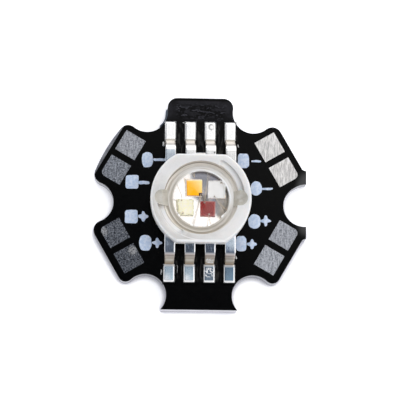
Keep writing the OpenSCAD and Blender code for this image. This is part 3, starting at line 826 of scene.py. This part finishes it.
def shrunk(outline, distance):
    """The outline moved inwards by a small distance."""
    count = len(outline)
    moved = []
    for k in range(count):
        before, at, after = (Vector(outline[(k + d) % count]) for d in (-1, 0, 1))
        way = (at - before).normalized() + (after - at).normalized()
        if way.length < TINY:
            way = after - at
        way.normalize()
        moved.append(tuple(at + Vector((-way.y, way.x)) * distance))
    return moved


def wavy(outline, size, seed, grain=3.0):
    """Uneven edges for a printed or poured shape."""
    return [
        (x + size * noise.noise(Vector((x * grain, y * grain, seed))),
         y + size * noise.noise(Vector((x * grain, y * grain, seed + 7.3))))
        for x, y in outline
    ]


def softened(node, name, width, material, low_flat):
    """A copy of a CAD node with its edges rounded, which stands for the node.

    Its lower flat, given as (place, step), stands a little further out.
    """
    flat_y, step = low_flat
    bm = bmesh.new()
    bm.from_mesh(NODES[node].data)
    bmesh.ops.remove_doubles(bm, verts=bm.verts, dist=1e-7)
    for vert in bm.verts:
        if vert.co.y < (flat_y + 0.01) * MM:
            vert.co.y -= step * MM
    bmesh.ops.dissolve_limit(bm, angle_limit=math.radians(0.6), verts=bm.verts, edges=bm.edges)
    folds = [e for e in bm.edges if len(e.link_faces) == 2]
    edges = [e for e in folds if e.calc_face_angle() > math.radians(ROUNDED_FROM)]
    bmesh.ops.bevel(bm, geom=edges, offset=width * MM, offset_type="OFFSET", segments=2, profile=0.5,
                    affect="EDGES", clamp_overlap=True)
    bmesh.ops.triangulate(bm, faces=[f for f in bm.faces if len(f.verts) > 4])
    mesh = bpy.data.meshes.new(name)
    bm.to_mesh(mesh)
    bm.free()
    made = shown(name, mesh, material, sharp=28)
    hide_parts(node)
    return made


# Leads

def column(i):
    """A lead's place in its row, from 0 on the left to 3 on the right."""
    return (i - 1) % 4


def lead_x(i):
    return (column(i) - 1.5) * LEAD_PITCH


def row_side(i):
    """1 for the upper row, leads 1 to 4, and -1 for the lower."""
    return 1 if i <= 4 else -1


def lead_centreline(tip):
    """The lead's middle from inside the body to its tip, as (distance out, height)."""
    neutral = LEAD_TOP - LEAD_T / 2
    path = [(STRIP_START, neutral), (STRIP_EXIT, neutral)]
    path += arc((SHOULDER_Y, neutral - BEND_R), BEND_R, 90, 90 - LEG_ANGLE, 10)
    path += arc((HEEL_Y, FOOT_Z + BEND_R), BEND_R, 270 - LEG_ANGLE, 270, 10)
    path += [(tip - back, FOOT_Z) for back in (1.35, 1.1, 0.85, 0.6, 0.4, 0.2, 0.12, 0.04, 0)]
    return path


def rounded_section(width, thick, r, steps=3, hold=0.02):
    """A rounded oblong. Points next to each corner keep the shading of the flat sides flat."""
    corners = [(1, 1, 0), (-1, 1, 90), (-1, -1, 180), (1, -1, 270)]
    points = []
    for sx, sy, start in corners:
        x, y = sx * (width / 2 - r), sy * (thick / 2 - r)
        before, after = ((0, -sy * hold), (-sx * hold, 0)) if sx == sy else ((-sx * hold, 0), (0, -sy * hold))
        turn = arc((x, y), r, start, start + 90, steps)
        points.append((turn[0][0] + before[0], turn[0][1] + before[1]))
        points += turn
        points.append((turn[-1][0] + after[0], turn[-1][1] + after[1]))
    return points


def neck(y):
    """The share by which the strip is narrower at a distance out. It is narrowest just above the heel."""
    narrowest = HEEL_Y - NECK_END
    full_again = HEEL_Y + NECK_END
    if y < SHOULDER_Y or y > full_again:
        return 0.0
    if y > narrowest:
        return LEAD_NECK * (full_again - y) / (2 * NECK_END)
    return LEAD_NECK * (y - SHOULDER_Y) / (narrowest - SHOULDER_Y)


def lead_sweep(i):
    """The lead's strip swept along its bends, with rounded edges and a slightly uneven foot."""
    upper = row_side(i) > 0
    roll = math.tan(math.radians(LEAD_ROLLS[i - 1]))
    heel, toe = (math.tan(math.radians(a)) for a in FOOT_RISES[i - 1])
    yaw = math.tan(math.radians(random.Random(40 + i).uniform(-0.5, 0.5)))
    path = lead_centreline(TIP_Y if upper else LOWER_TIP_Y)
    last = len(path) - 1
    toe_insets = {last: 0.1, last - 1: 0.03}
    section = rounded_section(LEAD_W, LEAD_T, LEAD_EDGE)
    rings = []
    for k, (y, z) in enumerate(path):
        before, after = path[max(k - 1, 0)], path[min(k + 1, last)]
        way = Vector((after[0] - before[0], after[1] - before[1])).normalized()
        inset = toe_insets.get(k, 0.0)
        foot = max(0.0, min(1.0, (y - SHOULDER_Y) / (TIP_Y - SHOULDER_Y)))
        along = max(0.0, y - HEEL_Y)
        rise = along * heel + (toe - heel) * along ** 2 / (2 * (TIP_Y - HEEL_Y))
        narrowing = neck(y) / 2 if upper else neck(y)
        ring = []
        for a, b in section:
            a *= (1 - 2 * inset / LEAD_W) * (1 - narrowing)
            b *= 1 - 2 * inset / LEAD_T
            lift = roll * a * foot + rise
            x = lead_x(i) + a + yaw * (y - SHOULDER_Y) * foot
            ring.append((x, row_side(i) * (y - way.y * b), z + way.x * b + lift))
        rings.append(ring)
    return loft(rings)


def finger_slab(i):
    """The lead's inner finger, which points at the dice, and the block that joins it to the strip."""
    outer = column(i) in (0, 3)
    side = -1 if column(i) < 2 else 1
    middle = abs(lead_x(i))
    angle = math.radians(OUTER_FINGER if outer else INNER_FINGER)
    bond = Vector((FINGER_R * math.cos(angle), FINGER_R * math.sin(angle)))
    root = Vector((middle, OUTER_ROOT if outer else INNER_ROOT))
    way = (bond - root).normalized()
    across = Vector((-way.y, way.x)) * FINGER_HALF
    tip = bond + way * FINGER_PAST
    finger = [root + across, root - across, tip - across, tip + across]
    low, high = BLOCK
    block = [(middle + sx * LEAD_W / 2, y) for sx, y in ((-1, low), (1, low), (1, high), (-1, high))]
    parts = []
    for outline in (finger, block):
        points = [(side * p[0], row_side(i) * p[1]) for p in outline]
        area = sum(p[0] * q[1] - q[0] * p[1] for p, q in zip(points, points[1:] + points[:1]))
        if area < 0:
            points.reverse()
        parts.append(rounded_slab(points, LEAD_TOP - LEAD_T, LEAD_TOP - 0.01, 0.03))
    return joined(*parts)


def make_leads(top_material, bottom_material):
    for i in range(1, 9):
        verts, faces = joined(lead_sweep(i), finger_slab(i))
        material = top_material if row_side(i) > 0 else bottom_material
        made = piece(f"lead_strip_{i}", verts, faces, material, "plated_lead", sharp=40)
        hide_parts(f"lead_{i}")


# Lens

def make_dome(material):
    """The dome, solid down to the chips, which stands for the lens and the gel under it."""
    foot = FLOOR_Z - OVERLAP
    profile = [(0, foot), (DOME_R, foot), (DOME_R, DOME_Z)]
    profile += arc((0, DOME_Z), DOME_R, 0, 90, 64)[1:-1]
    profile.append((0, DOME_Z + DOME_R))
    verts, faces = lathe(profile, 256)
    verts = [(x + LENS_SHIFT[0], y + LENS_SHIFT[1], z) for x, y, z in verts]
    made = piece("clear_dome", verts, faces, material, "clear_lens", sharp=50)
    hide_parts("lens", "gel_fill")


def lug_outline(side, r=LUG_R, inner=LUG_INNER):
    """A lug as seen from above, rounded at its outer end, on the side of 1 or -1."""
    points = arc((LUG_RING_R, 0), r, -90, 90, 20)
    points += [(LUG_RING_R + (inner - LUG_RING_R) * k / 5, r) for k in range(1, 6)]
    points += [(inner + (LUG_RING_R - inner) * k / 5, -r) for k in range(5)]
    return [(side * x, side * y) for x, y in points]


def make_lens_rim(material):
    """The flange, the collar and the two lugs at the dome's foot."""
    inner = DOME_R - OVERLAP
    rings = []
    for low, height, outer, edge, steps in (
        (SEAT_Z, FLANGE_T, FLANGE_R, 0.05, 4),
        (SEAT_Z + COLLAR_RISE, COLLAR_T - COLLAR_RISE, COLLAR_R, 0.08, 5),
    ):
        high = low + height
        profile = [(inner, low), (outer, low)]
        profile += arc((outer - edge, high - edge), edge, 0, 90, steps)
        profile.append((inner, high))
        rings.append(lathe(profile))
    ring_verts, ring_faces = joined(*rings)
    ring_verts = [(x + LENS_SHIFT[0], y + LENS_SHIFT[1], z) for x, y, z in ring_verts]
    lug_top = SEAT_Z + LUG_T - LUG_SINK
    lugs = [rounded_slab(lug_outline(side), SEAT_Z, lug_top, 0.2, 5) for side in (1, -1)]
    verts, faces = joined((ring_verts, ring_faces), *lugs)
    piece("lens_rim", verts, faces, material, "clear_lens", sharp=40)


# Where the gel over the lugs ends beside the dome, its least height over the seat, how far it takes to climb,
# and its rings, as (inset from the pocket's wall, drop below the body's top)
GEL_ROOT = 2.98
GEL_LOW = 0.3
GEL_CLIMB = 0.6
GEL_RINGS = [(0.0, 0.05), (0.06, 0.11), (0.16, 0.17), (0.3, 0.22), (0.46, 0.25)]


def make_pocket_gel(material):
    """Each pocket's gel climbs its wall, thins out over the lug and runs down to the lens's collar."""
    foot = SEAT_Z + GEL_LOW
    low = foot + OVERLAP
    levels = [(0.0, foot)] + [(inset, BODY_TOP - drop) for inset, drop in GEL_RINGS]
    for side, name in ((1, "right"), (-1, "left")):
        rings = []
        for inset, z in levels:
            ring = []
            for x, y in lug_outline(side, POCKET_R + OVERLAP - inset, GEL_ROOT + inset):
                share = max(0.0, min(1.0, (abs(x) - GEL_ROOT) / GEL_CLIMB))
                ring.append((x, y, min(z, low + (z - low) * share ** 1.5)))
            rings.append(ring)
        piece(f"pocket_gel_{name}", *loft(rings), material, "clear_lens", sharp=60)


# Marks on the mask

def dot(cx, cy, w, h, power=2.6, steps=40):
    """A rounded blob, between an ellipse and a box."""
    points = []
    for k in range(steps):
        a = 2 * math.pi * k / steps
        c, s = math.cos(a), math.sin(a)
        points.append((
            cx + w / 2 * math.copysign(abs(c) ** (2 / power), c),
            cy + h / 2 * math.copysign(abs(s) ** (2 / power), s),
        ))
    return points


def cross(cx, cy, size, width):
    """A plus sign with slightly pointed arms."""
    middle = Vector((cx, cy))
    shoulder, tip = width * 0.9, size / 2
    arm = [
        (shoulder, -width * 0.75), (tip * 0.86, -width * 0.42), (tip, 0),
        (tip * 0.86, width * 0.42), (shoulder, width * 0.75),
    ]
    points = []
    for k in range(4):
        a = math.radians(90 * k)
        along, across = Vector((math.cos(a), math.sin(a))), Vector((-math.sin(a), math.cos(a)))
        points += [tuple(middle + along * reach + across * half) for reach, half in arm]
    return points


def make_marks(material):
    """Plain printed shapes beside the leads, in eight places."""
    marks = [
        [dot(-4.93, 3.97, 1.05, 1.45), dot(-3.8, 3.99, 1.2, 0.26, 4)],
        [dot(-6.33, 1.85, 1.2, 1.3, 6), dot(-5.25, 1.8, 1.1, 0.3, 4)],
        [dot(-6.37, -1.42, 1.2, 1.25, 6), cross(-5.25, -1.39, 1.0, 0.26)],
        [dot(-5.03, -3.87, 1.15, 1.5), cross(-3.93, -3.86, 0.98, 0.24)],
        [dot(4.07, 4.01, 1.08, 1.4, 3.5), dot(5.26, 4.0, 0.92, 0.2, 4)],
        [dot(5.28, 1.41, 1.05, 1.35, 2.2), dot(6.33, 1.4, 1.0, 0.22, 4)],
        [dot(5.14, -1.72, 1.15, 1.35, 2.2), cross(6.19, -1.64, 1.05, 0.24)],
        [dot(3.9, -3.84, 1.0, 1.45, 3.5), cross(4.92, -3.86, 0.98, 0.24)],
    ]
    for number, shapes in enumerate(marks, 1):
        slabs = [
            rounded_slab(wavy(points, 0.05, number + 3 * k), MARK_LOW, BOARD_TOP + MARK_T, MARK_T / 2, 2)
            for k, points in enumerate(shapes)
        ]
        piece(f"mark_{number}", *joined(*slabs), material, sharp=60)


def make_solder_bits(material):
    """Small splashes of solder that lie on the coating beside the leads, as (x, y, width, length, height)."""
    bits = [
        (-3.44, 5.5, 0.24, 0.42, 0.1), (3.56, 5.42, 0.14, 0.3, 0.08), (-1.59, 7.54, 0.16, 0.14, 0.07),
        (-3.52, -6.59, 0.16, 0.5, 0.08), (-2.03, -6.3, 0.05, 0.7, 0.04), (3.42, -5.14, 0.2, 0.36, 0.12),
    ]
    slabs = []
    for number, (x, y, width, length, height) in enumerate(bits):
        outline = wavy(dot(x, y, width, length, 2.0, 28), 0.06, 60 + number, 5.0)
        slabs.append(rounded_slab(outline, MARK_LOW, BOARD_TOP + height, height * 0.8, 4))
    piece("solder_bits", *joined(*slabs), material, "solder", sharp=60)


def make_edge_burr():
    """A sliver of the sheared edge that stands out on the left of the upper arm."""
    outline = [
        (-3.02, 8.6), (-3.12, 8.9), (-3.26, 8.76), (-3.28, 8.3), (-3.36, 7.92), (-3.53, 7.58),
        (-3.82, 7.26), (-3.62, 7.18), (-3.3, 7.55), (-3.02, 8.0),
    ]
    dull = metal_line("sheared_edge", srgb(80, 88, 98), srgb(106, 114, 126))
    piece("edge_burr", *rounded_slab(outline, 0.3, 1.5, 0.05, 3), dull, "aluminium_plate", sharp=60)


# Studio

# The floor's side and its drop below the plate, in metres, and how far its shadow reaches, in millimetres
FLOOR_SIDE = 2.4
FLOOR_DROP = -0.00002
SHADOW_REACH = 0.75
WHITE = (1, 1, 1, 1)
ROOM_STRENGTH = 1.3
# The camera's turn, tilt and lean in degrees, and its distance and its shift right and up in millimetres
CAMERA_TURNS = (-0.89, 8.92, 2.64)
CAMERA_DISTANCE = 200.0
CAMERA_SHIFT = (0.028, 0.2317)
PIXELS_PER_MM = 10.702
IMAGE_SIDE = 400


def make_floor():
    """Pale paper that glows only where it is seen, with a painted shadow: darker and bluish close to the
    board's edge, most on its lower side.
    """
    s = Surface("studio_floor")
    cloud = s.noise(0.02, 2)
    seen = s.node("LightPath").outputs
    direct = s.largest(seen["Is Camera Ray"], seen["Is Glossy Ray"], seen["Is Transmission Ray"])
    openness = s.node("AmbientOcclusion", samples=12, Distance=SHADOW_REACH * MM).outputs["AO"]
    # Painted shadow: darker near the board, from ambient occlusion, stronger towards the lower side.
    contact_shadow = s.product(s.span(openness, 0.86, 0.5), s.span(s.part("Y"), 3, -2, 0.3, 0.9))
    pale = s.blend(cloud, srgb(248, 248, 253), srgb(250, 250, 254))
    tone = s.blend(s.product(contact_shadow, 0.65), pale, srgb(128, 124, 150))
    paper = s.node("BsdfDiffuse", Color=tone, Normal=s.bump(cloud, 0.01)).outputs[0]
    strength = s.product(direct, s.span(contact_shadow, 0, 1, 0.6, 0.2))
    glow = s.node("Emission", Color=WHITE, Strength=strength).outputs[0]
    material = s.finish(s.node("AddShader", a=paper, b=glow).outputs[0])
    bpy.ops.mesh.primitive_plane_add(size=FLOOR_SIDE, location=(0, 0, FLOOR_DROP))
    floor = bpy.context.object
    floor.name = "studio_floor"
    floor.data.materials.append(material)


def make_world():
    """A studio with a lit back, a lit right side and pale walls, which the eye sees as plain white."""
    world = bpy.data.worlds.new("studio_world")
    SCENE.world = world
    world.use_nodes = True
    s = Surface("studio_world", world.node_tree)
    way = s.node("SeparateXYZ", Vector=s.node("TexCoord").outputs["Generated"]).outputs
    slope = s.math("MULTIPLY_ADD", way["Y"], LIGHT_WAY[1], s.product(way["X"], LIGHT_WAY[0]))
    back_box = s.span(slope, 0.13, 0.172)
    side_box = s.span(way["X"], 0.2, 0.3)
    walls = s.span(way["Z"], 0.76, 0.6, 0.0, 0.8)
    lit = s.largest(back_box, side_box, walls)
    room_tone = s.blend(lit, srgb(88, 96, 112), WHITE)
    room = s.node("Background", Color=room_tone, Strength=ROOM_STRENGTH).outputs[0]
    backdrop = s.node("Background", Color=WHITE, Strength=1.0).outputs[0]
    to_eye = s.node("LightPath").outputs["Is Camera Ray"]
    s.node("OutputWorld", Surface=s.node("MixShader", a=to_eye, b=room, c=backdrop).outputs[0])


def make_camera():
    """The camera of the photograph, from a fit of board, body and leads."""
    turn, tilt, lean = (math.radians(a) for a in CAMERA_TURNS)
    across, tilted = Matrix.Rotation(turn, 3, "Z").transposed(), Matrix.Rotation(tilt, 3, "X")
    basis = across @ tilted @ Matrix.Rotation(-lean, 3, "Y")
    right, up, back = (Vector(axis) for axis in basis.transposed())
    data = bpy.data.cameras.new("camera")
    data.sensor_width = 36
    data.lens = data.sensor_width * CAMERA_DISTANCE * PIXELS_PER_MM / IMAGE_SIDE
    data.clip_start = 0.01
    data.clip_end = 10
    camera = bpy.data.objects.new("camera", data)
    SCENE.collection.objects.link(camera)
    aim = Vector((0, 0, BOARD_TOP)) + back * CAMERA_DISTANCE
    place = aim + right * CAMERA_SHIFT[0] + up * CAMERA_SHIFT[1]
    camera.matrix_world = Matrix.Translation(place * MM) @ basis.to_4x4()
    SCENE.camera = camera


# The scene

SCENE.view_settings.view_transform = "Standard"
make_camera()
make_world()
make_floor()

tin = solder()
finishes = {
    "base_plate": aluminium(),
    "dielectric_layer": dielectric(),
    "thermal_pad": copper(),
    "solder_mask": black_mask(),
    "slug_solder": tin,
    "heat_slug": silver_plate(),
    "phosphor_plate": amber_plate(),
}
# Each wire pad's dark and light tone, brushing angle, shine, and shares of specks and of brushed lines. The
# tones differ from pad to pad partly as painted reflection.
PAD_LOOKS = {
    1: (srgb(112, 114, 120), srgb(196, 198, 204), 100, 0.3, 0.7, 0.4),
    2: (srgb(66, 69, 76), srgb(170, 174, 182), 100, 0.3, 0.6, 0.3),
    3: (srgb(196, 193, 190), srgb(250, 247, 244), 3, 0.4, 0.3, 0.8),
    4: (srgb(196, 194, 191), srgb(250, 247, 244), 6, 0.4, 0.3, 0.8),
    5: (srgb(10, 14, 22), srgb(122, 126, 134), 60, 0.3, 1.0, 0.2, (-6.2, -4.6, 0.55)),
    6: (srgb(22, 25, 32), srgb(134, 138, 146), 80, 0.3, 1.0, 0.2, (-9.0, -2.9, 0.6)),
    7: (srgb(118, 120, 126), srgb(202, 204, 210), 25, 0.3, 0.5, 0.45),
    8: (srgb(120, 124, 130), srgb(206, 208, 214), 10, 0.3, 0.9, 0.4),
}
gold = metal_line("bond_gold", srgb(190, 180, 164), srgb(222, 214, 200))
bond_layer = metal_line("die_bond", grey(120), grey(170))
for i in range(1, 9):
    finishes[f"trace_{i}"] = tinned_pad(f"tinned_pad_{i}", *PAD_LOOKS[i])
    finishes[f"lead_solder_{i}"] = tin
    finishes[f"bond_wire_{i}"] = gold
# Each chip's two face tones and line tone, the shares its face and its sides glow with as painted light, its
# rings' spacing, and the white die's side tone, painted pale as painted light
CHIP_TONES = {
    "white": (srgb(60, 42, 24), srgb(110, 72, 26), srgb(28, 22, 18)),
    "blue": (srgb(232, 231, 230), srgb(246, 245, 243), srgb(206, 205, 203)),
    "green": (srgb(246, 240, 206), srgb(254, 249, 226), srgb(150, 156, 104)),
    "red": (srgb(112, 5, 5), srgb(160, 22, 18), srgb(206, 120, 112)),
}
CHIP_GLOW = {"white": (0.0, 0.75), "blue": (0.24, 0.75), "green": (0.24, 0.5), "red": (0.05, 0.3)}
CHIP_RINGS = {"red": 0.12}
CHIP_LIT_SIDES = {"white": srgb(254, 248, 238)}
for shade, (centre, side) in DICE.items():
    finishes[f"die_{shade}"] = chip(
        f"chip_{shade}", CHIP_TONES[shade], centre, side, *CHIP_GLOW[shade], CHIP_RINGS.get(shade, 0.0),
        CHIP_LIT_SIDES.get(shade))
    finishes[f"die_attach_{shade}"] = bond_layer
for node, material in finishes.items():
    NODES[node].data.materials.clear()
    NODES[node].data.materials.append(material)

make_leads(
    plated_lead("plated_upper", upper_face, UPPER_SLOPE, 0.13),
    plated_lead("plated_lower", lower_face, LOWER_SLOPE, 0.1, SLOPE_LUMP_X),
)
softened("housing", "moulded_body", 0.05, milky_moulding(), (-FLAT_Y, FLAT_STEP))
make_dome(clear_dome())
make_lens_rim(frosted_rim())
make_pocket_gel(pocket_gel())
make_marks(ink())
make_solder_bits(tin)
make_edge_burr()
